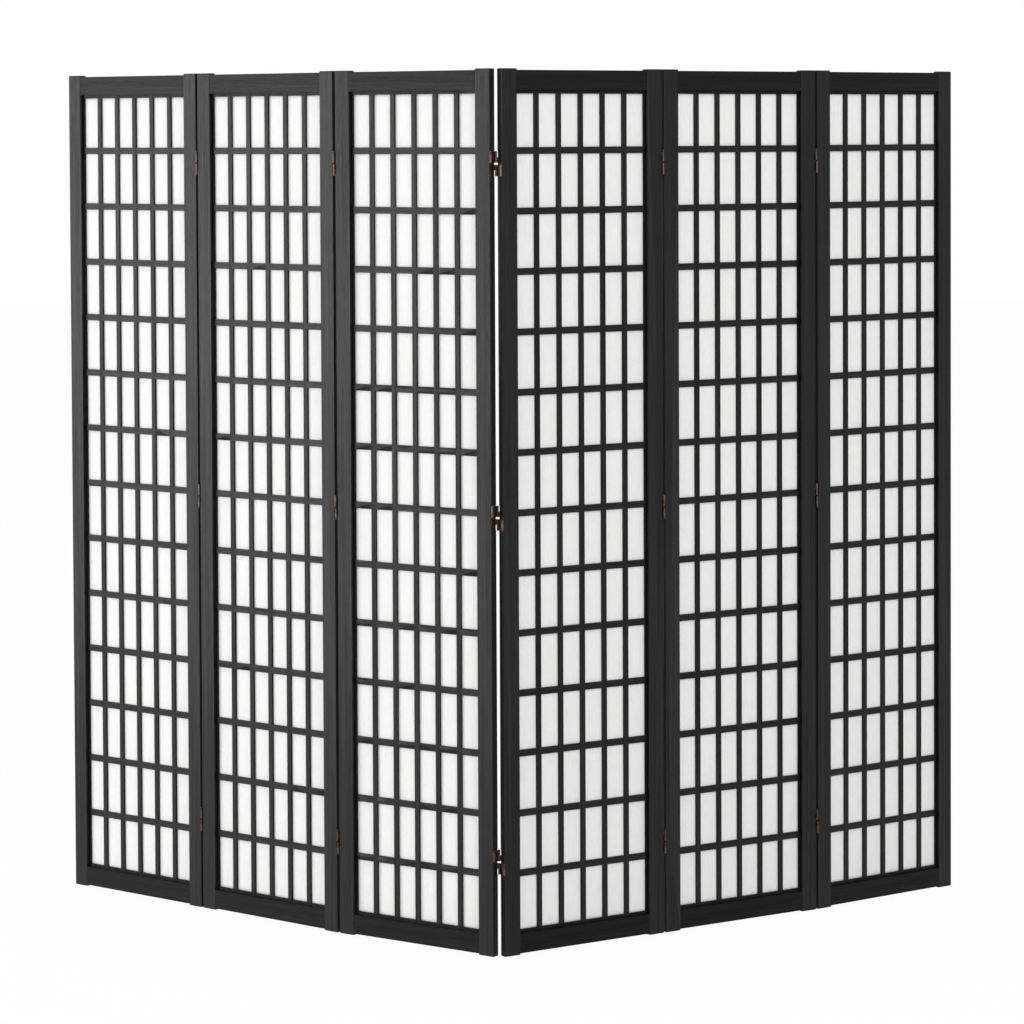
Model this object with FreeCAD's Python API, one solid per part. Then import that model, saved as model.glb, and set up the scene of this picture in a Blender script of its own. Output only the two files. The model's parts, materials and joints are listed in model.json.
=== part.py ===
import FreeCAD, Part
import math
import os

# Shoji folding screen: six framed panels of papered lattice, joined in a chain
# by two-way hinges. Millimetres, Z up. The front (lattice) faces look to -Y.
# Each panel is drawn flat in its own frame: u along its width from the left
# end face, y from its front face to its back face, z up from the floor.

# --- panel frame
panel_width = 400.0
panel_height = 1780.0
frame_thickness = 16.0
stile_width = 37.0
rail_height = 40.0
stile_horn = 3.0  # how far a stile stands past the rails, top and bottom
arris = 1.0  # chamfer round both ends of a stile
tenon_length = 22.0
tenon_thickness = 6.0
tenon_shoulder = 6.0  # above and below the tenon
mortise_clearance = 0.1

# --- lattice, paper and what holds them
columns = 6
rows = 14
vertical_strip_width = 11.4
horizontal_strip_height = 13.8
strip_depth = 4.5
lap_depth = 2.25  # the verticals lie this deep in the horizontals
lattice_setback = 7.0  # from the front of the frame
side_edging_width = 4.0
end_edging_height = 7.0
paper_thickness = 0.4
rabbet_width = 6.0  # step in the back of the frame that takes the paper
paper_clearance = 1.0
bead_width = 12.0
bead_setback = 0.3  # from the back of the frame

# --- two-way hinges, three to a joint
hinge_gap = 6.0  # between the end faces of two panels
pin_offset = 0.6  # a pin's axis stands this far off the panel's face
knuckle_radius = 2.3
knuckle_sides = 6
crown_angle = 34.0  # degrees, the round outer side of a leaf's knuckle
hinge_height = 50.0
hinge_half_gap = 3.8  # between the upper and the lower link
hinge_end_inset = 190.0  # centres of the top and bottom hinges from the ends
middle_hinge_height = 882.0
leaf_thickness = 1.2
leaf_inset = 0.7  # the leaf's edges from the faces of the stile
leaf_end_clearance = 0.1
link_thickness = 1.0
link_clearance = 0.4  # between a link's plate and the barrels it passes
axial_clearance = 0.3  # between two knuckles on one pin

# --- how the screen stands, seen from above
base_panel = 3  # the others are placed from this one
base_heading = -37.3  # degrees, direction of its width
rest_folds = [0.0, 4.5, 72.5, 0.0, 4.0]  # degrees to the back, joint by joint

panel_count = len(rest_folds) + 1
opening_width = panel_width - 2 * stile_width
rail_inner_edge = stile_horn + rail_height
opening_height = panel_height - 2 * rail_inner_edge
lattice_left = stile_width + side_edging_width
lattice_width = opening_width - 2 * side_edging_width
lattice_bottom = rail_inner_edge + end_edging_height
lattice_height = opening_height - 2 * end_edging_height
pane_width = (lattice_width - (columns - 1) * vertical_strip_width) / columns
pane_height = (lattice_height - (rows - 1) * horizontal_strip_height) / rows
paper_front = lattice_setback + strip_depth
bead_front = paper_front + paper_thickness
front_pin_y = -pin_offset
back_pin_y = frame_thickness + pin_offset
hinge_heights = [hinge_end_inset, middle_hinge_height, panel_height - hinge_end_inset]


def block(u, y, z):
    """A box from three (low, high) pairs."""
    corner = FreeCAD.Vector(u[0], y[0], z[0])
    return Part.makeBox(u[1] - u[0], y[1] - y[0], z[1] - z[0], corner)


def mirrored(shape):
    """The same shape on the other side of the panel's middle."""
    middle = FreeCAD.Vector(panel_width / 2, 0, 0)
    return shape.mirror(middle, FreeCAD.Vector(1, 0, 0))


def upended(shape):
    """The shape turned end over end about the y direction."""
    turned = shape.copy()
    turned.rotate(FreeCAD.Vector(0, 0, 0), FreeCAD.Vector(0, 1, 0), 180)
    return turned


def moved(shape, u, z):
    """A copy of the shape, shifted along the panel and up."""
    copy = shape.copy()
    copy.translate(FreeCAD.Vector(u, 0, z))
    return copy


# --- frame


def rail_band(at_top):
    """Lowest and highest z of a rail."""
    if at_top:
        return (panel_height - rail_inner_edge, panel_height - stile_horn)
    return (stile_horn, rail_inner_edge)


def tenon_space(at_top, clearance):
    """The left tenon of a rail, or with a clearance the mortise it goes into."""
    low, high = rail_band(at_top)
    middle = frame_thickness / 2
    half = tenon_thickness / 2 + clearance
    return block(
        (stile_width - tenon_length - clearance, stile_width),
        (middle - half, middle + half),
        (low + tenon_shoulder - clearance, high - tenon_shoulder + clearance),
    )


def left_stile(hinged):
    """The stile at the panel's left end, with gains for hinge leaves if hinged."""
    stile = block((0, stile_width), (0, frame_thickness), (0, panel_height))
    end_edges = [edge for edge in stile.Edges if edge.BoundBox.ZLength < arris]
    stile = stile.makeChamfer(arris, end_edges)
    rabbet = block(
        (stile_width - rabbet_width, stile_width),
        (paper_front, frame_thickness),
        (rail_inner_edge - rabbet_width, panel_height - rail_inner_edge + rabbet_width),
    )
    cuts = [rabbet, tenon_space(False, mortise_clearance), tenon_space(True, mortise_clearance)]
    if hinged:
        half = hinge_height / 2
        for height in hinge_heights:
            cuts.append(
                block(
                    (0, leaf_thickness),
                    (0, frame_thickness),
                    (height - half, height + half),
                )
            )
    return stile.cut(cuts)


def rail(at_top):
    """A rail with a tenon at each end and the paper's rabbet along its inner edge."""
    low, high = rail_band(at_top)
    body = block((stile_width, panel_width - stile_width), (0, frame_thickness), (low, high))
    tenon = tenon_space(at_top, 0)
    body = body.fuse([tenon, mirrored(tenon)])
    inner = (low, low + rabbet_width) if at_top else (high - rabbet_width, high)
    rabbet = block((stile_width, panel_width - stile_width), (paper_front, frame_thickness), inner)
    return body.cut(rabbet)


# --- lattice: vertical strips let flush into housings in the horizontal ones


def vertical_strip_u(number):
    """Left and right edge of a vertical strip, counted from 1."""
    left = lattice_left + number * pane_width + (number - 1) * vertical_strip_width
    return (left, left + vertical_strip_width)


def vertical_strip(number):
    depth = (lattice_setback, lattice_setback + lap_depth)
    height = (lattice_bottom, lattice_bottom + lattice_height)
    return block(vertical_strip_u(number), depth, height)


def horizontal_strip(number):
    """A strip across the panel, with a housing where each vertical crosses it."""
    low = lattice_bottom + number * pane_height + (number - 1) * horizontal_strip_height
    high = low + horizontal_strip_height
    strip = block(
        (lattice_left, lattice_left + lattice_width),
        (lattice_setback, paper_front),
        (low, high),
    )
    housing_depth = (lattice_setback, lattice_setback + lap_depth)
    housings = [
        block(vertical_strip_u(n), housing_depth, (low, high)) for n in range(1, columns)
    ]
    return strip.cut(housings)


def edging():
    """Thin strips that line the opening, level with the lattice."""
    depth = (lattice_setback, paper_front)
    bottom = rail_inner_edge
    top = panel_height - rail_inner_edge
    side = block((stile_width, lattice_left), depth, (bottom, top))
    across = (lattice_left, lattice_left + lattice_width)
    sill = block(across, depth, (bottom, lattice_bottom))
    head = block(across, depth, (top - end_edging_height, top))
    return [side, mirrored(side), sill, head]


def paper():
    """The sheet behind the lattice, with its margins in the rabbets."""
    margin = stile_width - rabbet_width + paper_clearance
    low = rail_inner_edge - rabbet_width + paper_clearance
    return block(
        (margin, panel_width - margin), (paper_front, bead_front), (low, panel_height - low)
    )


def back_beads():
    """Strips in the rabbets that hold the paper from behind."""
    depth = (bead_front, frame_thickness - bead_setback)
    outer = stile_width - rabbet_width
    low = rail_inner_edge - rabbet_width
    side = block((outer, outer + bead_width), depth, (low, panel_height - low))
    across = (outer + bead_width, panel_width - outer - bead_width)
    sill = block(across, depth, (low, low + bead_width))
    head = block(across, depth, (panel_height - low - bead_width, panel_height - low))
    return [side, mirrored(side), sill, head]


# --- two-way hinge, drawn with x = 0 midway between the panels, z = 0 at its
# middle and the left panel at negative x. The left leaf has its front knuckle
# in the upper half and its back knuckle in the lower half; the upper link joins
# that front knuckle to the right leaf's back one. The right leaf and the lower
# link are the same pieces end over end.


def knuckle_bands():
    """The outer and the inner knuckle of a barrel in the upper half: (low, high)."""
    bottom = hinge_half_gap / 2
    top = hinge_height / 2
    middle = (bottom + top) / 2
    outer = (middle + axial_clearance / 2, top)
    inner = (bottom, middle - axial_clearance / 2)
    return outer, inner


def barrel_point(pin_y, angle, z):
    """A point on a barrel, by its angle from the side that faces away from the panels."""
    outward = -1 if pin_y < frame_thickness / 2 else 1
    x = knuckle_radius * math.sin(math.radians(angle))
    y = pin_y + outward * knuckle_radius * math.cos(math.radians(angle))
    return FreeCAD.Vector(x, y, z)


def side_angles():
    """Angles of a barrel's corners: the crown's two ends, then equal sides between them."""
    side = (360 - crown_angle) / (knuckle_sides - 1)
    return [crown_angle / 2 + n * side for n in range(knuckle_sides)]


def knuckle(pin_y, band, crowned):
    """A rolled knuckle round a pin's axis, drawn with flats; crowned, its outer side is round."""
    corners = [barrel_point(pin_y, angle, band[0]) for angle in side_angles()]
    edges = [Part.makeLine(a, b) for a, b in zip(corners, corners[1:])]
    if crowned:
        crown = barrel_point(pin_y, 0, band[0])
        edges.append(Part.Arc(corners[-1], crown, corners[0]).toShape())
    else:
        edges.append(Part.makeLine(corners[-1], corners[0]))
    face = Part.Face(Part.Wire(edges))
    return face.extrude(FreeCAD.Vector(0, 0, band[1] - band[0]))


def neck_edge(pin_y):
    """Outer y of the neck between a leaf's plate and its barrel."""
    inner_flat = barrel_point(pin_y, side_angles()[knuckle_sides // 2], 0).y
    return inner_flat + math.copysign(leaf_thickness, pin_y - frame_thickness / 2)


def left_leaf():
    """The plate let into the left panel's end face, with its two knuckles."""
    outer_x, face_x = -hinge_gap / 2 - leaf_thickness, -hinge_gap / 2
    half = hinge_height / 2 - leaf_end_clearance
    width = (leaf_inset, frame_thickness - leaf_inset)
    pieces = [block((outer_x, face_x), width, (-half, half))]
    outer, inner = knuckle_bands()
    bands = {front_pin_y: (outer[0], half), back_pin_y: (-inner[1], -inner[0])}
    for pin_y, band in bands.items():
        edge = neck_edge(pin_y)
        inward = math.copysign(leaf_thickness, frame_thickness / 2 - pin_y)
        pieces.append(block((outer_x, 0), sorted((edge, edge + inward)), band))
        pieces.append(knuckle(pin_y, band, True))
    return pieces[0].fuse(pieces[1:]).removeSplitter()


def upper_link():
    """The plate that joins the left front pin to the right back pin."""
    outer, inner = knuckle_bands()
    upper = (outer[0], hinge_height / 2 - leaf_end_clearance)
    reach = knuckle_radius + link_clearance
    half = link_thickness / 2
    plate = block(
        (-half, half), (front_pin_y + reach, back_pin_y - reach), (inner[0], upper[1])
    )
    front_tongue = block((-half, half), (front_pin_y, front_pin_y + reach), inner)
    back_tongue = block((-half, half), (back_pin_y - reach, back_pin_y), upper)
    pieces = [
        front_tongue,
        back_tongue,
        knuckle(front_pin_y, inner, False),
        knuckle(back_pin_y, upper, False),
    ]
    return plate.fuse(pieces).removeSplitter()


# --- panels as solids, still flat in their own frames


def panel_nodes(number):
    """Every sub-part of one panel, by name."""
    hinged_left = number > 1
    hinged_right = number < panel_count
    leaves = []
    for height in hinge_heights:
        if hinged_left:
            leaves.append(moved(upended(left_leaf()), -hinge_gap / 2, height))
        if hinged_right:
            leaves.append(moved(left_leaf(), panel_width + hinge_gap / 2, height))
    return {
        "stiles": [left_stile(hinged_left), mirrored(left_stile(hinged_right))],
        "rails": [rail(False), rail(True)],
        "vertical_kumiko": [vertical_strip(n) for n in range(1, columns)],
        "horizontal_kumiko": [horizontal_strip(n) for n in range(1, rows)],
        "edging": edging(),
        "paper": [paper()],
        "back_beads": back_beads(),
        "hinge_leaves": leaves,
    }


def link_nodes(at_right_end):
    """A joint's links: the upper ones in the left panel's frame, the lower in the right's."""
    if at_right_end:
        u, link = panel_width + hinge_gap / 2, upper_link()
    else:
        u, link = -hinge_gap / 2, upended(upper_link())
    return [moved(link, u, height) for height in hinge_heights]


# --- the standing screen: each panel turned about the back pins of its joint


def turn(angle):
    return FreeCAD.Rotation(FreeCAD.Vector(0, 0, 1), angle)


def pin_places(joint, places):
    """Front and back pin axes of the left and of the right panel at a joint."""
    found = {}
    for side, panel, u in (
        ("left", joint, panel_width + hinge_gap / 2),
        ("right", joint + 1, -hinge_gap / 2),
    ):
        place = places[panel]
        found[side + "_front"] = place.multVec(FreeCAD.Vector(u, front_pin_y, 0))
        found[side + "_back"] = place.multVec(FreeCAD.Vector(u, back_pin_y, 0))
    return found


def panel_places():
    """Placement of every panel, worked out joint by joint from the base panel."""
    right_pin = FreeCAD.Vector(panel_width + hinge_gap / 2, back_pin_y, 0)
    left_pin = FreeCAD.Vector(-hinge_gap / 2, back_pin_y, 0)
    places = {base_panel: FreeCAD.Placement(FreeCAD.Vector(0, 0, 0), turn(base_heading))}
    headings = {base_panel: base_heading}
    for number in range(base_panel + 1, panel_count + 1):
        pin = places[number - 1].multVec(right_pin)
        headings[number] = headings[number - 1] + rest_folds[number - 2]
        spin = turn(headings[number])
        places[number] = FreeCAD.Placement(pin - spin.multVec(left_pin), spin)
    for number in range(base_panel - 1, 0, -1):
        pin = places[number + 1].multVec(left_pin)
        headings[number] = headings[number + 1] - rest_folds[number - 1]
        spin = turn(headings[number])
        places[number] = FreeCAD.Placement(pin - spin.multVec(right_pin), spin)
    return places


def standing_screen():
    """All sub-parts in place, and the placements and pins they were put by."""
    places = panel_places()
    shapes = {}
    for number in range(1, panel_count + 1):
        for name, solids in panel_nodes(number).items():
            shape = Part.makeCompound(solids)
            shape.Placement = places[number]
            shapes["panel_%d_%s" % (number, name)] = shape
    for joint in range(1, panel_count):
        upper = Part.makeCompound(link_nodes(True))
        upper.Placement = places[joint]
        shapes["hinge_%d_%d_upper_links" % (joint, joint + 1)] = upper
        lower = Part.makeCompound(link_nodes(False))
        lower.Placement = places[joint + 1]
        shapes["hinge_%d_%d_lower_links" % (joint, joint + 1)] = lower
    return shapes, places


shapes, places = standing_screen()
box = Part.makeCompound(list(shapes.values())).BoundBox
to_centre = FreeCAD.Vector(-box.Center.x, -box.Center.y, -box.ZMin)

os.makedirs("parts", exist_ok=True)
for name, shape in shapes.items():
    shape.translate(to_centre)
    shape.exportStep("parts/%s.step" % name)

print("overall size", round(box.XLength, 2), round(box.YLength, 2), round(box.ZLength, 2))
print("pane", round(pane_width, 3), "x", round(pane_height, 3))
for joint in range(1, panel_count):
    for pin, place in pin_places(joint, places).items():
        at = place + to_centre
        print("pins %d-%d %s %.4f %.4f" % (joint, joint + 1, pin, at.x, at.y))
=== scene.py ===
import json
import math

import bmesh
import bpy
from mathutils import Matrix, Vector

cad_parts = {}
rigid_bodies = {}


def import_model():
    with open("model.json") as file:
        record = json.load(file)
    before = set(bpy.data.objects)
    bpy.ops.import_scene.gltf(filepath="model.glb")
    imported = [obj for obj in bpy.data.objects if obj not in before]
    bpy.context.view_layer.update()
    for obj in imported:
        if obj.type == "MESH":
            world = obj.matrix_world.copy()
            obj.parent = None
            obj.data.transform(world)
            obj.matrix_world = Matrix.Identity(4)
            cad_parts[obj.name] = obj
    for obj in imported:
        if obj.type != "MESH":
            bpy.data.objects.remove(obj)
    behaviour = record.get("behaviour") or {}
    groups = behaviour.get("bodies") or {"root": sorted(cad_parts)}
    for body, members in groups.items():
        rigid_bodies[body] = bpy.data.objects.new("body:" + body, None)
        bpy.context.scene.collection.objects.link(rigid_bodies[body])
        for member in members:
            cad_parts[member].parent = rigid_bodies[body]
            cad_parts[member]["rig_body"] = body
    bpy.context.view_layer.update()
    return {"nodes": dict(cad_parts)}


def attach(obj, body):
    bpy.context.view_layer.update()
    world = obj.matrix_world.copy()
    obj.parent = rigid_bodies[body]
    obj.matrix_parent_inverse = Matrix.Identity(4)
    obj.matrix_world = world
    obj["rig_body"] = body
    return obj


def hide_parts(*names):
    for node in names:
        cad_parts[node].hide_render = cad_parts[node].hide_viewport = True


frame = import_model()
nodes = frame["nodes"]


scene = bpy.context.scene
mm = 0.001

# --- where each panel stands: u along its width, y into its thickness, z up

screen = {
    "headings": {1: -41.8, 2: -41.8, 3: -37.3, 4: 35.2, 5: 35.2, 6: 39.2},  # degrees, from above
    "width": 400 * mm,
    "thickness": 16 * mm,
}
panelNumbers = list(screen["headings"])


def panelPlace(number):
    # matrix from the panel's own frame to the row frame, with its corner read from the stiles
    turn = Matrix.Rotation(math.radians(screen["headings"][number]), 4, "Z")
    flat = [turn.inverted() @ v.co for v in nodes["panel_%d_stiles" % number].data.vertices]
    corner = Vector((min(v.x for v in flat), min(v.y for v in flat), 0))
    return turn @ Matrix.Translation(corner)


places = {number: panelPlace(number) for number in panelNumbers}

# --- shader helpers


def newGroup(name, inputs, outputs):
    group = bpy.data.node_groups.new(name, "ShaderNodeTree")
    for label, kind, value in inputs:
        socket = group.interface.new_socket(label, in_out="INPUT", socket_type=kind)
        if value is not None:
            socket.default_value = value
    for label, kind in outputs:
        group.interface.new_socket(label, in_out="OUTPUT", socket_type=kind)
    return group, group.nodes.new("NodeGroupInput"), group.nodes.new("NodeGroupOutput")


def math2(tree, operation, a, b=0.0):
    node = tree.nodes.new("ShaderNodeMath")
    node.operation = operation
    for socket, value in zip(node.inputs, (a, b)):
        if isinstance(value, (int, float)):
            socket.default_value = value
        else:
            tree.links.new(value, socket)
    return node.outputs[0]


def weighted(tree, terms):
    # the sum of values that each count by their own weight
    total = None
    for value, weight in terms:
        term = math2(tree, "MULTIPLY", value, weight)
        total = term if total is None else math2(tree, "ADD", total, term)
    return total


def vector2(tree, operation, a, b):
    node = tree.nodes.new("ShaderNodeVectorMath")
    node.operation = operation
    for socket, value in zip(node.inputs, (a, b)):
        if isinstance(value, (tuple, list)):
            socket.default_value = value
        else:
            tree.links.new(value, socket)
    return node.outputs[0]


def noise(tree, vector, scale, detail, roughness=0.5):
    node = tree.nodes.new("ShaderNodeTexNoise")
    node.inputs["Scale"].default_value = scale
    node.inputs["Detail"].default_value = detail
    node.inputs["Roughness"].default_value = roughness
    tree.links.new(vector, node.inputs["Vector"])
    return node.outputs["Fac"]


def stretchedNoise(tree, point, stretch, detail, roughness=0.5, scale=1.0):
    return noise(tree, vector2(tree, "MULTIPLY", point, stretch), scale, detail, roughness)


def ramp(tree, value, low, high, toLow=0.0, toHigh=1.0):
    node = tree.nodes.new("ShaderNodeMapRange")
    node.interpolation_type = "SMOOTHSTEP"
    for label, number in zip(("From Min", "From Max", "To Min", "To Max"), (low, high, toLow, toHigh)):
        node.inputs[label].default_value = number
    tree.links.new(value, node.inputs["Value"])
    return node.outputs["Result"]


def mixColors(tree, factor, a, b):
    node = tree.nodes.new("ShaderNodeMix")
    node.data_type = "RGBA"
    for socket, value in ((node.inputs[0], factor), (node.inputs[6], a), (node.inputs[7], b)):
        if isinstance(value, (int, float, tuple)):
            socket.default_value = value
        else:
            tree.links.new(value, socket)
    return node.outputs[2]


def placeGroup(tree, group, **values):
    node = tree.nodes.new("ShaderNodeGroup")
    node.node_tree = group
    for label, value in values.items():
        socket = node.inputs[label]
        if isinstance(value, (int, float, tuple)):
            socket.default_value = value
        else:
            tree.links.new(value, socket)
    return node


def newMaterial(name):
    material = bpy.data.materials.new(name)
    material.use_nodes = True
    tree = material.node_tree
    tree.nodes.clear()
    shader = tree.nodes.new("ShaderNodeBsdfPrincipled")
    out = tree.nodes.new("ShaderNodeOutputMaterial")
    tree.links.new(shader.outputs[0], out.inputs["Surface"])
    return material, tree, shader, out


def blendShaders(tree, factor, a, b, out):
    mix = tree.nodes.new("ShaderNodeMixShader")
    for socket, value in zip(mix.inputs, (factor, a.outputs[0], b.outputs[0])):
        if isinstance(value, float):
            socket.default_value = value
        else:
            tree.links.new(value, socket)
    tree.links.new(mix.outputs[0], out.inputs["Surface"])


def objectPoint(tree, place=None):
    # the surface point in the panel's own frame; carried-over nodes need the placement undone
    point = tree.nodes.new("ShaderNodeTexCoord").outputs["Object"]
    if place is None:
        return point
    mapping = tree.nodes.new("ShaderNodeMapping")
    mapping.vector_type = "TEXTURE"
    mapping.inputs["Location"].default_value = place.translation
    mapping.inputs["Rotation"].default_value = place.to_euler()
    tree.links.new(point, mapping.inputs["Vector"])
    return mapping.outputs["Vector"]


def addBump(tree, shader, height, distance, strength):
    bump = tree.nodes.new("ShaderNodeBump")
    bump.inputs["Distance"].default_value = distance
    bump.inputs["Strength"].default_value = strength
    tree.links.new(height, bump.inputs["Height"])
    tree.links.new(bump.outputs["Normal"], shader.inputs["Normal"])


# --- effects that several materials share

# how often each part of the grain repeats in a metre: across the strip, into it, and along it
grainScales = {
    "fibre": (1500, 1500, 26),
    "bands": (240, 120, 2.4),
    "broad": (24, 24, 1.6),
    "pores": (2600, 2600, 70),
}
grainBend = {"scale": 9.0, "stretch": (1, 1, 0.25), "reach": 12 * mm}  # a slow wander of the fibres


def makeWoodGrain():
    # fine stretched grain, a few darker bands, and a tint and offset of its own for each strip
    group, start, end = newGroup(
        "woodGrain",
        [
            ("Point", "NodeSocketVector", None),
            ("Crosswise", "NodeSocketFloat", 0.0),  # 1 where the piece runs along the panel
            ("Piece Pitch", "NodeSocketFloat", 0.2),
            ("Dark", "NodeSocketColor", (0.01, 0.01, 0.01, 1)),
            ("Light", "NodeSocketColor", (0.05, 0.05, 0.05, 1)),
            ("Tint Spread", "NodeSocketFloat", 0.3),
        ],
        [("Color", "NodeSocketColor"), ("Pores", "NodeSocketFloat"), ("Figure", "NodeSocketFloat")],
    )
    split = group.nodes.new("ShaderNodeSeparateXYZ")
    group.links.new(start.outputs["Point"], split.inputs[0])
    u, y, z = split.outputs
    cross = start.outputs["Crosswise"]
    side = math2(group, "SUBTRACT", 1.0, cross)
    across = weighted(group, ((u, side), (z, cross)))
    along = weighted(group, ((z, side), (u, cross)))
    index = math2(group, "FLOOR", math2(group, "DIVIDE", across, start.outputs["Piece Pitch"]))
    lot = group.nodes.new("ShaderNodeTexWhiteNoise")
    lot.noise_dimensions = "1D"
    group.links.new(index, lot.inputs["W"])
    join = group.nodes.new("ShaderNodeCombineXYZ")
    for value, socket in zip((across, y, along), join.inputs):
        group.links.new(value, socket)
    shift = vector2(group, "SCALE", lot.outputs["Color"], (0, 0, 0))
    shift.node.inputs["Scale"].default_value = 5.0  # metres of offset, so that no two strips match
    point = vector2(group, "ADD", join.outputs[0], shift)
    warp = stretchedNoise(group, point, grainBend["stretch"], 2.0, 0.5, grainBend["scale"])
    bent = group.nodes.new("ShaderNodeCombineXYZ")
    group.links.new(math2(group, "MULTIPLY", warp, grainBend["reach"]), bent.inputs[0])
    point = vector2(group, "ADD", point, bent.outputs[0])
    fibre = stretchedNoise(group, point, grainScales["fibre"], 3.0, 0.6)
    bands = stretchedNoise(group, point, grainScales["bands"], 3.0, 0.55)
    broad = stretchedNoise(group, point, grainScales["broad"], 2.0)
    pores = stretchedNoise(group, point, grainScales["pores"], 1.0)
    figure = ramp(group, weighted(group, ((fibre, 0.45), (bands, 0.4), (broad, 0.15))), 0.3, 0.7)
    color = mixColors(group, figure, start.outputs["Dark"], start.outputs["Light"])
    tint = math2(group, "SUBTRACT", lot.outputs["Value"], 0.5)
    tint = math2(group, "ADD", 1.0, math2(group, "MULTIPLY", tint, start.outputs["Tint Spread"]))
    scaled = vector2(group, "SCALE", color, (0, 0, 0))
    group.links.new(tint, scaled.node.inputs["Scale"])
    group.links.new(scaled, end.inputs["Color"])
    group.links.new(ramp(group, pores, 0.52, 0.66), end.inputs["Pores"])
    group.links.new(figure, end.inputs["Figure"])
    return group


edgeReach = 0.7 * mm  # how far from an edge its wear shows


def makeEdgeWear():
    # 1 along sharp edges, broken up by noise
    group, start, end = newGroup(
        "edgeWear",
        [
            ("Point", "NodeSocketVector", None),
            ("Breakup Scale", "NodeSocketFloat", 90.0),
            ("Amount", "NodeSocketFloat", 0.5),
        ],
        [("Mask", "NodeSocketFloat")],
    )
    rounded = group.nodes.new("ShaderNodeBevel")
    rounded.samples = 4
    rounded.inputs["Radius"].default_value = edgeReach
    flat = group.nodes.new("ShaderNodeNewGeometry")
    meet = group.nodes.new("ShaderNodeVectorMath")
    meet.operation = "DOT_PRODUCT"
    group.links.new(rounded.outputs[0], meet.inputs[0])
    group.links.new(flat.outputs["Normal"], meet.inputs[1])
    edge = ramp(group, meet.outputs["Value"], 0.78, 0.99, 1.0, 0.0)
    scattered = group.nodes.new("ShaderNodeTexNoise")
    scattered.inputs["Detail"].default_value = 3.0
    group.links.new(start.outputs["Point"], scattered.inputs["Vector"])
    group.links.new(start.outputs["Breakup Scale"], scattered.inputs["Scale"])
    broken = ramp(group, scattered.outputs["Fac"], 0.38, 0.68)
    mask = math2(group, "MULTIPLY", math2(group, "MULTIPLY", edge, broken), start.outputs["Amount"])
    group.links.new(mask, end.inputs["Mask"])
    return group


woodGrain = makeWoodGrain()
edgeWear = makeEdgeWear()
print("shared effects ready")

# --- stained wood

stain = {
    "dark": (0.0026, 0.0025, 0.0024, 1),
    "light": (0.0078, 0.0075, 0.0073, 1),
    # the worn colour lightens the wood's edges: partly rubbed stain, partly a painted highlight where the
    # arrises catch the light
    "worn": (0.04, 0.038, 0.036, 1),
    "roughness": 0.43,
    "poreRoughness": 0.16,  # added in the pores
    "figureRoughness": -0.08,  # added on the figure's light bands
    "evenSheen": 0.72,  # share of a cut's specular that all of it has
    "coat": 1.12,  # coat on the light bands, for a specular of 1
    "poreDepth": 0.05 * mm,
    "poreStrength": 0.7,
}


def toned(color, tone):
    return (color[0] * tone, color[1] * tone, color[2] * tone, 1)


def stainedWood(name, place, cut):
    material, tree, shader, out = newMaterial(name)
    point = objectPoint(tree, place)
    # the cut's tone scales the stain; on the rails it darkens the wood as painted shade
    grain = placeGroup(
        tree,
        woodGrain,
        Point=point,
        Crosswise=cut["crosswise"],
        Dark=toned(stain["dark"], cut["tone"]),
        Light=toned(stain["light"], cut["tone"]),
        **{"Piece Pitch": cut["pitch"], "Tint Spread": cut["tintSpread"]},
    )
    # lighter edges on the wood: rubbed stain and painted highlight along the arrises
    worn = placeGroup(tree, edgeWear, Point=point, Amount=cut["wear"])
    color = mixColors(tree, worn.outputs["Mask"], grain.outputs["Color"], stain["worn"])
    tree.links.new(color, shader.inputs["Base Color"])
    figure, pores = grain.outputs["Figure"], grain.outputs["Pores"]
    rough = weighted(tree, ((pores, stain["poreRoughness"]), (figure, stain["figureRoughness"])))
    tree.links.new(math2(tree, "ADD", rough, stain["roughness"]), shader.inputs["Roughness"])
    # an even sheen over all, and a thin coat that shows most on the figure's light bands
    shader.inputs["Specular IOR Level"].default_value = stain["evenSheen"] * cut["specular"]
    shader.inputs["Coat Roughness"].default_value = stain["roughness"]
    coat = ramp(tree, figure, 0.0, 1.0, 0.0, stain["coat"] * cut["specular"])
    tree.links.new(coat, shader.inputs["Coat Weight"])
    addBump(tree, shader, math2(tree, "SUBTRACT", figure, pores), stain["poreDepth"], stain["poreStrength"])
    return material


def addBevel(piece, width, segments):
    bevel = piece.modifiers.new("easedEdges", "BEVEL")
    bevel.width = width
    bevel.segments = segments
    bevel.limit_method = "ANGLE"
    bevel.angle_limit = math.radians(50)


def easeEdges(node, width):
    # the carried-over solids come with split corners, so they are welded before the bevel
    weld = node.modifiers.new("weld", "WELD")
    weld.merge_threshold = 0.01 * mm
    addBevel(node, width, 2)


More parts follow.
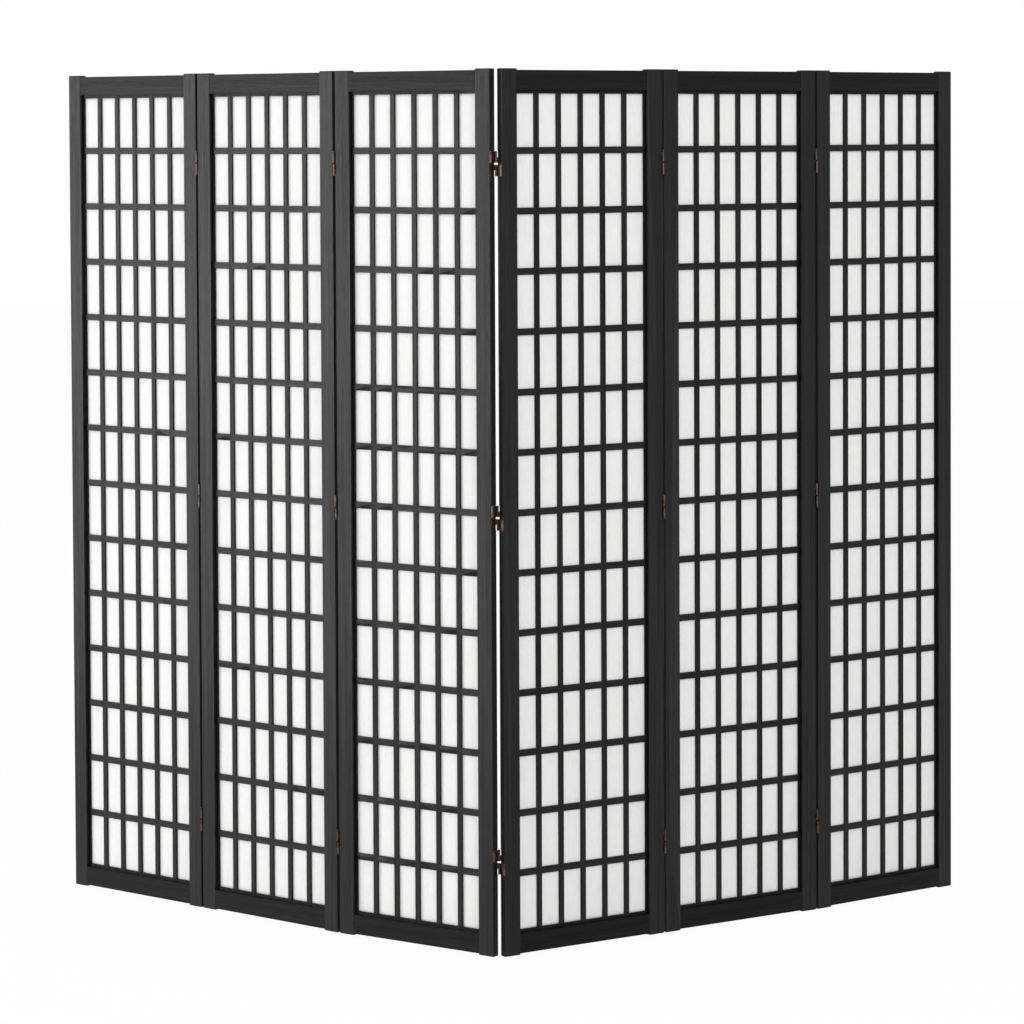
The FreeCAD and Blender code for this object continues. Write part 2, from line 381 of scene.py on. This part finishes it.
# how each wooden node is cut and stained, with the rails' tone lowered as painted shade; the pitch tells
# its pieces apart
woodwork = {
    "stiles": {
        "crosswise": 0.0,
        "pitch": 200 * mm,
        "tone": 1.0,
        "specular": 0.2,
        "tintSpread": 0.25,
        "wear": 0.4,
        "eased": 0.9 * mm,
    },
    "rails": {
        "crosswise": 1.0,
        "pitch": 890 * mm,
        # painted shade: the rails are coloured darker than the stiles, standing in for the weaker sheen
        # across their grain
        "tone": 0.75,
        "specular": 0.12,
        "tintSpread": 0.25,
        "wear": 0.3,
        "eased": 0.6 * mm,
    },
    "vertical_kumiko": {
        "crosswise": 0.0,
        "pitch": 54.9 * mm,
        "tone": 0.9,
        "specular": 0.18,
        "tintSpread": 0.45,
        "wear": 0.2,
        "eased": 0.25 * mm,
    },
    "horizontal_kumiko": {
        "crosswise": 1.0,
        "pitch": 121 * mm,
        "tone": 0.9,
        "specular": 0.18,
        "tintSpread": 0.45,
        "wear": 0.2,
        "eased": 0.25 * mm,
    },
    "edging": {
        "crosswise": 0.0,
        "pitch": 200 * mm,
        "tone": 0.8,
        "specular": 0.12,
        "tintSpread": 0.3,
        "wear": 0.2,
        "eased": 0.0,
    },
    "back_beads": {
        "crosswise": 0.0,
        "pitch": 200 * mm,
        "tone": 0.9,
        "specular": 0.15,
        "tintSpread": 0.4,
        "wear": 0.3,
        "eased": 0.0,
    },
}

carriedOver = [piece for piece in woodwork if piece != "vertical_kumiko"]

for number in panelNumbers:
    for piece in carriedOver:
        cut = woodwork[piece]
        node = nodes["panel_%d_%s" % (number, piece)]
        node.data.materials.clear()
        node.data.materials.append(stainedWood("%s_%d" % (piece, number), places[number], cut))
        if cut["eased"]:
            easeEdges(node, cut["eased"])
print("wood stained")

# --- vertical lattice strips: full depth, notched at the back where the horizontals cross

strip = {
    "front": 7 * mm,  # depths from the panel's front face
    "notch": 9.25 * mm,  # depth of the floor of a housing
    "back": 11.5 * mm,
    "play": 0.02 * mm,  # on each side of a crossing
}


def finishMesh(name, builder, material, place, body):
    mesh = bpy.data.meshes.new(name)
    bmesh.ops.recalc_face_normals(builder, faces=builder.faces)
    builder.to_mesh(mesh)
    builder.free()
    mesh.materials.append(material)
    piece = bpy.data.objects.new(name, mesh)
    scene.collection.objects.link(piece)
    piece.matrix_world = place
    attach(piece, body)
    return piece


def flatSpan(node, place):
    # lowest and highest corner of a CAD node in the panel's own frame
    back = place.inverted()
    points = [back @ v.co for v in nodes[node].data.vertices]
    low = Vector([min(p[axis] for p in points) for axis in range(3)])
    high = Vector([max(p[axis] for p in points) for axis in range(3)])
    return low, high


def stripEdges(node, place, axis):
    # (low, high) of every strip of a CAD lattice node along one axis of the panel's own frame
    back = place.inverted()
    levels = sorted({round((back @ v.co)[axis], 5) for v in nodes[node].data.vertices})
    return list(zip(levels[::2], levels[1::2]))


def makeVerticals(number):
    node = "panel_%d_vertical_kumiko" % number
    place = places[number]
    low, high = flatSpan(node, place)
    front, back, notch = strip["front"], strip["back"], strip["notch"]
    outline = [(back, low.z), (front, low.z), (front, high.z), (back, high.z)]
    for bottom, top in reversed(stripEdges("panel_%d_horizontal_kumiko" % number, place, 2)):
        top, bottom = top + strip["play"], bottom - strip["play"]
        outline += [(back, top), (notch, top), (notch, bottom), (back, bottom)]
    builder = bmesh.new()
    for left, right in stripEdges(node, place, 0):
        face = builder.faces.new([builder.verts.new((left, y, z)) for y, z in outline])
        drawn = bmesh.ops.extrude_face_region(builder, geom=[face], use_keep_orig=True)
        far = [item for item in drawn["geom"] if isinstance(item, bmesh.types.BMVert)]
        bmesh.ops.translate(builder, verts=far, vec=(right - left, 0, 0))
    cut = woodwork["vertical_kumiko"]
    name = "verticals_%d" % number
    material = stainedWood(name, None, cut)
    piece = finishMesh(name, builder, material, place, "panel_%d" % number)
    easeEdges(piece, cut["eased"])
    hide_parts(node)


for number in panelNumbers:
    makeVerticals(number)
print("vertical strips let in")

# --- paper: one stretched sheet to a panel, glued behind the lattice

paper = {
    "front": 11.52 * mm,  # a hair behind the lattice's back face
    "thickness": 0.2 * mm,
    "panes": (6, 14),  # across and up
    "steps": (24, 84),
    "slack": 0.06 * mm,  # how far the sheet swells between the strips
    "dark": (0.80, 0.80, 0.795, 1),
    "light": (0.90, 0.90, 0.895, 1),
    "through": 0.3,  # share of the light that passes through
}


def makeShojiPaper():
    material, tree, shader, out = newMaterial("shojiPaper")
    point = objectPoint(tree)
    cloud = stretchedNoise(tree, point, (60, 60, 28), 4.0, 0.6)
    longFibres = stretchedNoise(tree, point, (900, 900, 45), 3.0, 0.65)
    crossFibres = stretchedNoise(tree, point, (260, 900, 620), 2.0, 0.6)
    fibres = ramp(tree, weighted(tree, ((longFibres, 0.65), (crossFibres, 0.35))), 0.34, 0.66)
    tone = weighted(tree, ((fibres, 0.6), (cloud, 0.4)))
    color = mixColors(tree, tone, paper["dark"], paper["light"])
    tree.links.new(color, shader.inputs["Base Color"])
    shader.inputs["Roughness"].default_value = 0.85
    shader.inputs["Specular IOR Level"].default_value = 0.25
    addBump(tree, shader, fibres, 0.04 * mm, 0.6)
    through = tree.nodes.new("ShaderNodeBsdfTranslucent")
    tree.links.new(color, through.inputs["Color"])
    blendShaders(tree, paper["through"], shader, through, out)
    return material


shojiPaper = makeShojiPaper()


def makePaper(number):
    node = "panel_%d_paper" % number
    low, high = flatSpan(node, places[number])
    builder = bmesh.new()
    across, up = paper["steps"]
    wide, tall = paper["panes"]
    grid = []
    for row in range(up + 1):
        line = []
        for column in range(across + 1):
            s, t = column / across, row / up
            swell = math.sin(math.pi * wide * s) * math.sin(math.pi * tall * t) * paper["slack"]
            u = low.x + s * (high.x - low.x)
            z = low.z + t * (high.z - low.z)
            line.append(builder.verts.new((u, paper["front"] + paper["slack"] + swell, z)))
        grid.append(line)
    for below, above in zip(grid, grid[1:]):
        for column in range(across):
            right = column + 1
            face = (below[column], below[right], above[right], above[column])
            builder.faces.new(face).smooth = True
    piece = finishMesh(
        "paper_%d" % number, builder, shojiPaper, places[number], "panel_%d" % number
    )
    thick = piece.modifiers.new("thickness", "SOLIDIFY")
    thick.thickness = paper["thickness"]
    thick.offset = 1.0
    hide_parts(node)


for number in panelNumbers:
    makePaper(number)
print("paper hung")

# --- two-way hinges in antique copper: leaves, links, pins and screws
# drawn with x = 0 midway between the panels and z = 0 at the hinge's middle, for the left leaf
# and the upper link; the right leaf and the lower link are the same pieces end over end

hinge = {
    "centres": (190 * mm, 882 * mm, 1590 * mm),
    "height": 50 * mm,
    "middleGap": 3.8 * mm,
    "gap": 6 * mm,
    "pinOffset": 0.6 * mm,  # how far each pin stands outside the panel's face
    "barrel": 2.3 * mm,
    "bore": 1.05 * mm,
    "pin": 0.95 * mm,
    "head": 1.5 * mm,
    "headRise": 0.55 * mm,
    "leaf": 1.2 * mm,  # its thickness
    "inset": 1.4 * mm,  # from the panel's face to the leaf's long edge
    "link": 1.0 * mm,
    "linkReach": 2.7 * mm,  # from a pin to the edge of the plate beside it
    "axialGap": 0.3 * mm,
    "endGap": 0.1 * mm,
    "segments": 28,
    "turnedSteps": 20,
    "screw": 2.3 * mm,
    "screwSteps": 14,  # to each half of the head
    "screwRise": 0.25 * mm,
    "screwSlot": 0.6 * mm,
    "screwPitch": 16 * mm,
    "eased": 0.12 * mm,
}
half = hinge["height"] / 2 - hinge["endGap"]
low = hinge["middleGap"] / 2
bandMiddle = (low + hinge["height"] / 2) / 2
outerBand = (bandMiddle + hinge["axialGap"] / 2, half)
innerBand = (low, bandMiddle - hinge["axialGap"] / 2)
frontPin = -hinge["pinOffset"]
backPin = screen["thickness"] + hinge["pinOffset"]
upended = Matrix.Rotation(math.pi, 4, "Y")


def prism(builder, loops, start, reach):
    # fills the outline, less any holes, and draws it out along reach
    edges = []
    for loop in loops:
        verts = [builder.verts.new(Vector(point) + Vector(start)) for point in loop]
        edges += [builder.edges.new((a, b)) for a, b in zip(verts, verts[1:] + verts[:1])]
    filled = bmesh.ops.triangle_fill(builder, use_beauty=True, use_dissolve=False, edges=edges)
    faces = [item for item in filled["geom"] if isinstance(item, bmesh.types.BMFace)]
    drawn = bmesh.ops.extrude_face_region(builder, geom=faces, use_keep_orig=True)
    tops = [item for item in drawn["geom"] if isinstance(item, bmesh.types.BMVert)]
    bmesh.ops.translate(builder, verts=tops, vec=Vector(reach))


def circle(center, radius, count, first=0.0, last=2 * math.pi):
    whole = abs(last - first) > 2 * math.pi - 1e-6
    steps = count if whole else count + 1
    angles = [first + (last - first) * n / count for n in range(steps)]
    return [(center[0] + radius * math.cos(a), center[1] + radius * math.sin(a), 0) for a in angles]


def turned(builder, profile, place):
    # a pin or a head: a profile of (radius, height) turned about z
    steps = hinge["turnedSteps"]
    rings = []
    for radius, height in profile:
        points = circle((0, 0), radius, steps) if radius else [(0, 0, 0)]
        rings.append([builder.verts.new(place @ Vector((x, y, height))) for x, y, z in points])
    for a, b in zip(rings, rings[1:]):
        for n in range(steps):
            m = (n + 1) % steps
            corner = [a[n % len(a)], a[m % len(a)], b[m % len(b)], b[n % len(b)]]
            unique = list(dict.fromkeys(corner))
            if len(unique) > 2:
                builder.faces.new(unique)


def rolledKnuckle(builder, pin, band):
    # the leaf's edge, rolled round the pin; the neck leaves the barrel at its inner side
    outward = -1 if pin < screen["thickness"] / 2 else 1
    radius, sheet = hinge["barrel"], hinge["leaf"]
    face = -hinge["gap"] / 2
    inner = pin - outward * radius
    outer = inner + outward * sheet
    foot = inner - outward * sheet
    meet = math.atan2(radius - sheet, -math.sqrt(radius**2 - (radius - sheet) ** 2))
    arc = circle((0, 0), radius, hinge["segments"], meet, 2.5 * math.pi)
    roll = [(x, pin - outward * y, 0) for x, y, z in arc]
    outline = roll + [
        (face, inner, 0),
        (face, foot, 0),
        (face - sheet, foot, 0),
        (face - sheet, outer, 0),
    ]
    bore = circle((0, pin), hinge["bore"], hinge["segments"])
    prism(builder, [outline, bore], (0, 0, band[0]), (0, 0, band[1] - band[0]))


def leafPlate(builder):
    face = -hinge["gap"] / 2
    front, back = hinge["inset"], screen["thickness"] - hinge["inset"]
    outline = [(0, front, -half), (0, back, -half), (0, back, half), (0, front, half)]
    prism(builder, [outline], (face - hinge["leaf"], 0, 0), (hinge["leaf"], 0, 0))


def makeLeaf(builder):
    rolledKnuckle(builder, frontPin, outerBand)
    rolledKnuckle(builder, backPin, (-innerBand[1], -innerBand[0]))
    leafPlate(builder)


def makeLink(builder):
    # one plate that crosses from the left front pin to the right back pin
    front, back = frontPin + hinge["linkReach"], backPin - hinge["linkReach"]
    grip = (hinge["bore"] + hinge["barrel"]) / 2
    outline = [
        (0, frontPin + grip, innerBand[0]),
        (0, back, innerBand[0]),
        (0, back, outerBand[0]),
        (0, backPin - grip, outerBand[0]),
        (0, backPin - grip, outerBand[1]),
        (0, front, outerBand[1]),
        (0, front, innerBand[1]),
        (0, frontPin + grip, innerBand[1]),
    ]
    prism(builder, [outline], (-hinge["link"] / 2, 0, 0), (hinge["link"], 0, 0))
    for pin, band in ((frontPin, innerBand), (backPin, outerBand)):
        rings = [circle((0, pin), r, hinge["segments"]) for r in (hinge["barrel"], hinge["bore"])]
        prism(builder, rings, (0, 0, band[0]), (0, 0, band[1] - band[0]))


def makePin(builder, pin, upward, reach):
    # a domed head on the barrel's outer end; reach is how far the shaft goes in
    rise, radius = hinge["headRise"], hinge["pin"]
    top = outerBand[1]
    dome = [(hinge["head"] * math.cos(t), top + rise * math.sin(t)) for t in (0, 0.4, 0.8, 1.2)]
    profile = [(0, reach), (radius * 0.7, reach), (radius, reach + radius * 0.3), (radius, top)]
    place = Matrix.Translation((0, pin, 0))
    if not upward:
        place = place @ upended
    turned(builder, profile + dome + [(0, top + rise)], place)


def makeScrew(builder, height):
    # a slotted countersunk head, flush in the leaf but for its crown
    face = -hinge["gap"] / 2
    sunk = hinge["leaf"] / 2
    edge = math.asin(hinge["screwSlot"] / 2 / hinge["screw"])
    for first in (0, math.pi):
        disc = circle((0, 0), hinge["screw"], hinge["screwSteps"], first + edge, first + math.pi - edge)
        outline = [(0, screen["thickness"] / 2 + x, height + y) for x, y, z in disc]
        prism(builder, [outline], (face - sunk, 0, 0), (sunk + hinge["screwRise"], 0, 0))


copper = {
    "bright": (0.14, 0.096, 0.078, 1),
    "tarnished": (0.03, 0.016, 0.012, 1),
    "worn": (0.42, 0.31, 0.26, 1),
    "roughness": 0.27,
    "wear": 0.6,
}


def makeAntiqueCopper():
    material, tree, shader, out = newMaterial("antiqueCopper")
    point = objectPoint(tree)
    blotch = noise(tree, point, 120.0, 4.0, 0.55)
    speck = noise(tree, point, 1900.0, 2.0, 0.6)
    worn = placeGroup(tree, edgeWear, Point=point, Amount=copper["wear"], **{"Breakup Scale": 420.0})
    tarnish = ramp(tree, blotch, 0.3, 0.75)
    color = mixColors(tree, tarnish, copper["bright"], copper["tarnished"])
    color = mixColors(tree, worn.outputs["Mask"], color, copper["worn"])
    tree.links.new(color, shader.inputs["Base Color"])
    shader.inputs["Metallic"].default_value = 1.0
    rough = math2(tree, "ADD", weighted(tree, ((tarnish, 0.16), (speck, 0.12))), copper["roughness"])
    tree.links.new(rough, shader.inputs["Roughness"])
    addBump(tree, shader, speck, 0.01 * mm, 0.4)
    return material


antiqueCopper = makeAntiqueCopper()


def metalPiece(name, builder, place, body):
    piece = finishMesh(name, builder, antiqueCopper, place, body)
    addBevel(piece, hinge["eased"], 1)
    for face in piece.data.polygons:
        face.use_smooth = True
    piece.modifiers.new("sharpEdges", "EDGE_SPLIT").split_angle = math.radians(35)
    return piece


def addCopies(builder, make, u, end=Matrix.Identity(4)):
    # the same piece at each of the three hinges, at u along the panel
    part = bmesh.new()
    make(part)
    flat = bpy.data.meshes.new("part")
    part.to_mesh(flat)
    part.free()
    for height in hinge["centres"]:
        before = len(builder.verts)
        builder.from_mesh(flat)
        builder.verts.ensure_lookup_table()
        added = builder.verts[before:]
        bmesh.ops.transform(builder, matrix=Matrix.Translation((u, 0, height)) @ end, verts=added)
    bpy.data.meshes.remove(flat)


openPivotJoints = (2, 5)  # stand slightly folded back, so their front-right pin ends in its own knuckle
leftU = -hinge["gap"] / 2
rightU = screen["width"] + hinge["gap"] / 2


def pinsOf(openFront):
    def make(builder):
        makePin(builder, frontPin, True, outerBand[0] if openFront else low)
        makePin(builder, backPin, False, low)

    return make


def screwsOf(builder):
    for n in (-1, 0, 1):
        makeScrew(builder, n * hinge["screwPitch"])


for number in panelNumbers:
    leaves, pins, screws = bmesh.new(), bmesh.new(), bmesh.new()
    if number > 1:
        addCopies(leaves, makeLeaf, leftU, upended)
        addCopies(pins, pinsOf(number - 1 in openPivotJoints), leftU, upended)
        addCopies(screws, screwsOf, leftU, upended)
    if number < len(panelNumbers):
        addCopies(leaves, makeLeaf, rightU)
        addCopies(pins, pinsOf(False), rightU)
        addCopies(screws, screwsOf, rightU)
    body = "panel_%d" % number
    piece = metalPiece("hingeLeaves_%d" % number, leaves, places[number], body)
    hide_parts(body + "_hinge_leaves")
    metalPiece("hingePins_%d" % number, pins, places[number], body)
    metalPiece("hingeScrews_%d" % number, screws, places[number], body)

asDrawn = Matrix.Identity(4)
for joint in panelNumbers[:-1]:
    for which, u, end, number in (("upper", rightU, asDrawn, joint), ("lower", leftU, upended, joint + 1)):
        node = "hinge_%d_%d_%s_links" % (joint, joint + 1, which)
        links = bmesh.new()
        addCopies(links, makeLink, u, end)
        name = "hingeLinks_%s_%d_%d" % (which, joint, joint + 1)
        piece = metalPiece(name, links, places[number], nodes[node]["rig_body"])
        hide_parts(node)
print("hinges made")

# --- camera, at the photograph's viewing angle

view = {
    "place": (0.0062, -8.147, 1.6534),
    "pitch": 2.2214,  # degrees down
    "roll": -0.258,
    "lens": 136.95,
    "shift": -0.2237,
}

lens = bpy.data.cameras.new("photoView")
lens.sensor_width = 36
lens.lens = view["lens"]
lens.shift_y = view["shift"]
lens.clip_end = 100
camera = bpy.data.objects.new("photoView", lens)
scene.collection.objects.link(camera)
camera.matrix_world = (
    Matrix.Translation(view["place"])
    @ Matrix.Rotation(math.radians(90 - view["pitch"]), 4, "X")
    @ Matrix.Rotation(math.radians(view["roll"]), 4, "Z")
)
scene.camera = camera

# --- floor and studio light

studio = {
    "floorSize": 60.0,
    "floorColor": (0.9, 0.9, 0.9, 1),
    "floorGlow": 0.96,  # how much of the floor the camera sees as plain white
    "worldStrength": 0.72,
}


def seenPlainly(tree):
    # 1 where the camera sees the surface, also in a reflection or through something clear
    rays = tree.nodes.new("ShaderNodeLightPath")
    seen = math2(tree, "MAXIMUM", rays.outputs["Is Camera Ray"], rays.outputs["Is Glossy Ray"])
    return math2(tree, "MAXIMUM", seen, rays.outputs["Is Transmission Ray"])


def makeFloor():
    builder = bmesh.new()
    bmesh.ops.create_grid(builder, x_segments=1, y_segments=1, size=studio["floorSize"] / 2)
    mesh = bpy.data.meshes.new("floor")
    builder.to_mesh(mesh)
    builder.free()
    floor = bpy.data.objects.new("floor", mesh)
    scene.collection.objects.link(floor)
    material, tree, shader, out = newMaterial("paleFloor")
    shader.inputs["Base Color"].default_value = studio["floorColor"]
    shader.inputs["Roughness"].default_value = 0.8
    shader.inputs["Specular IOR Level"].default_value = 0.2
    white = tree.nodes.new("ShaderNodeEmission")
    white.inputs["Strength"].default_value = 1.0
    glow = math2(tree, "MULTIPLY", seenPlainly(tree), studio["floorGlow"])
    blendShaders(tree, glow, shader, white, out)
    mesh.materials.append(material)


def makeWorld():
    world = bpy.data.worlds.new("studio")
    world.use_nodes = True
    tree = world.node_tree
    tree.nodes.clear()
    out = tree.nodes.new("ShaderNodeOutputWorld")
    light = tree.nodes.new("ShaderNodeBackground")
    light.inputs["Color"].default_value = (1, 1, 1, 1)
    light.inputs["Strength"].default_value = studio["worldStrength"]
    shown = tree.nodes.new("ShaderNodeBackground")
    shown.inputs["Color"].default_value = (1, 1, 1, 1)
    blendShaders(tree, seenPlainly(tree), light, shown, out)
    scene.world = world


lamps = {
    "keyLeft": dict(place=(-7.5, -1.25, 1.45), aim=(-0.2, 0, 0.9), size=(5.0, 2.9), power=318),
    "fillFront": dict(place=(3.2, -7.0, 4.0), aim=(0, 0, 0.9), size=(3.5, 3.5), power=262),
}


def makeLamp(name, lamp):
    light = bpy.data.lights.new(name, "AREA")
    light.shape = "RECTANGLE"
    light.size, light.size_y = lamp["size"]
    light.energy = lamp["power"]
    thing = bpy.data.objects.new(name, light)
    scene.collection.objects.link(thing)
    thing.location = lamp["place"]
    aim = Vector(lamp["aim"]) - Vector(lamp["place"])
    thing.rotation_mode = "QUATERNION"
    thing.rotation_quaternion = aim.to_track_quat("-Z", "Y")


makeFloor()
makeWorld()
for name, lamp in lamps.items():
    makeLamp(name, lamp)
scene.view_settings.view_transform = "Standard"
print("studio set")
